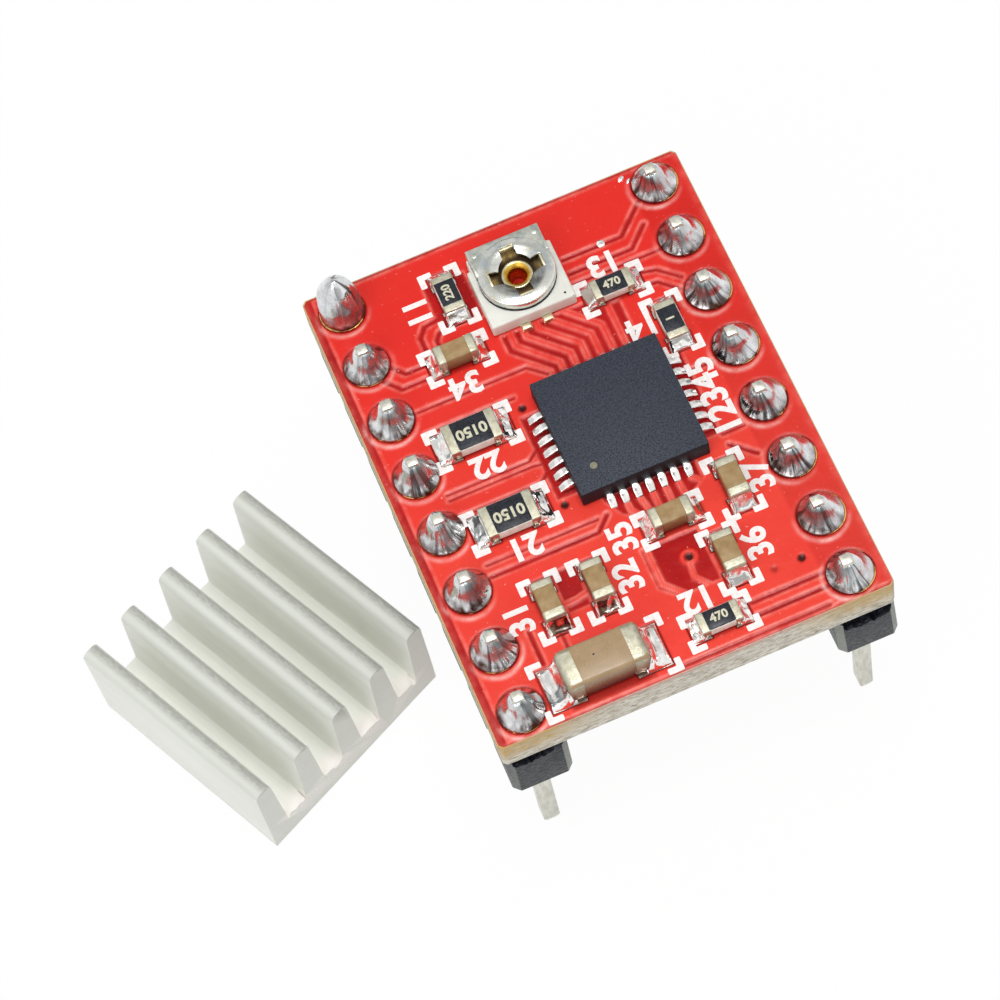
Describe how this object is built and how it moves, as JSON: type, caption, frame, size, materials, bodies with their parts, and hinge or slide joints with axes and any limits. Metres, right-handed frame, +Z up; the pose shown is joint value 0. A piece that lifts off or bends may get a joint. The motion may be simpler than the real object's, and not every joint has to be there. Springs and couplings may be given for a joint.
{
  "type": "stepper driver module",
  "caption": "Small stepper motor driver board on two pin headers, with current trimmer, flat leadless chip and a loose finned heat sink that lies beside it.",
  "frame": {"origin": "centre of the board's outline, on the plane that the pin tips stand on", "axes": "+X across the board from one pin row to the other, with the heat sink on the -X side; +Y along the pin rows towards the trimmer; +Z up out of the component side"},
  "size_m": [0.0279, 0.02, 0.0125],
  "materials": {
    "alumina": "fired alumina",
    "capacitor_ceramic": "fired ceramic",
    "carbon_track": "printed",
    "end_metal": "tin plated",
    "eyelet_brass": "rolled",
    "fr4": "sawn glass-fibre laminate",
    "gold_plate": "tin-gold plated copper",
    "header_plastic": "moulded",
    "lead_frame": "tin plated copper",
    "mill_aluminium": "extruded, sawn ends",
    "mould_compound": "fine matte moulding",
    "nickel_sheet": "stamped, nickel plated",
    "pin_metal": "tin plated",
    "red_mask": "glossy solder mask",
    "resistor_glaze": "fired glaze",
    "solder": "bright reflowed",
    "tinned_copper": "hot-air levelled tin on copper",
    "trimmer_plastic": "moulded"
  },
  "bodies": {
    "carrier_board": {"board_core": "fr4", "board_lands": "tinned_copper", "capacitor_1_body": "capacitor_ceramic", "capacitor_1_caps": "end_metal", "capacitor_2_body": "capacitor_ceramic", "capacitor_2_caps": "end_metal", "capacitor_3_body": "capacitor_ceramic", "capacitor_3_caps": "end_metal", "capacitor_4_body": "capacitor_ceramic", "capacitor_4_caps": "end_metal", "capacitor_5_body": "capacitor_ceramic", "capacitor_5_caps": "end_metal", "capacitor_6_body": "capacitor_ceramic", "capacitor_6_caps": "end_metal", "capacitor_7_body": "capacitor_ceramic", "capacitor_7_caps": "end_metal", "chip_body": "mould_compound", "chip_leads": "lead_frame", "chip_paddle": "lead_frame", "chip_part_solder": "solder", "chip_solder": "solder", "header_pins_left": "pin_metal", "header_pins_right": "pin_metal", "header_spacer_left": "header_plastic", "header_spacer_right": "header_plastic", "mask_bottom": "red_mask", "mask_top": "red_mask", "pin_joints_left": "solder", "pin_joints_right": "solder", "plated_holes": "gold_plate", "resistor_1_ceramic": "alumina", "resistor_1_glaze": "resistor_glaze", "resistor_1_terminals": "end_metal", "resistor_2_ceramic": "alumina", "resistor_2_glaze": "resistor_glaze", "resistor_2_terminals": "end_metal", "resistor_3_ceramic": "alumina", "resistor_3_glaze": "resistor_glaze", "resistor_3_terminals": "end_metal", "resistor_4_ceramic": "alumina", "resistor_4_glaze": "resistor_glaze", "resistor_4_terminals": "end_metal", "sense_resistor_1_ceramic": "alumina", "sense_resistor_1_glaze": "resistor_glaze", "sense_resistor_1_terminals": "end_metal", "sense_resistor_2_ceramic": "alumina", "sense_resistor_2_glaze": "resistor_glaze", "sense_resistor_2_terminals": "end_metal", "trimmer_base": "trimmer_plastic", "trimmer_end_terminals": "pin_metal", "trimmer_eyelet": "eyelet_brass", "trimmer_track": "carbon_track", "trimmer_wiper_terminal": "nickel_sheet"},
    "trimmer_rotor": {"trimmer_rotor": "nickel_sheet"},
    "heat_sink": {"heat_sink": "mill_aluminium"}
  },
  "joints": [
    {"name": "trimmer_turn", "type": "hinge", "parent": "carrier_board", "child": "trimmer_rotor", "pos_m": [0.00009, 0.00703, 0.0109], "axis": [0, 0, 1], "range_deg": [-130, 130]},
    {"name": "heat_sink_lift", "type": "slide", "parent": "carrier_board", "child": "heat_sink", "axis": [0, 0, 1], "range_m": [0, 0.015]}
  ]
}
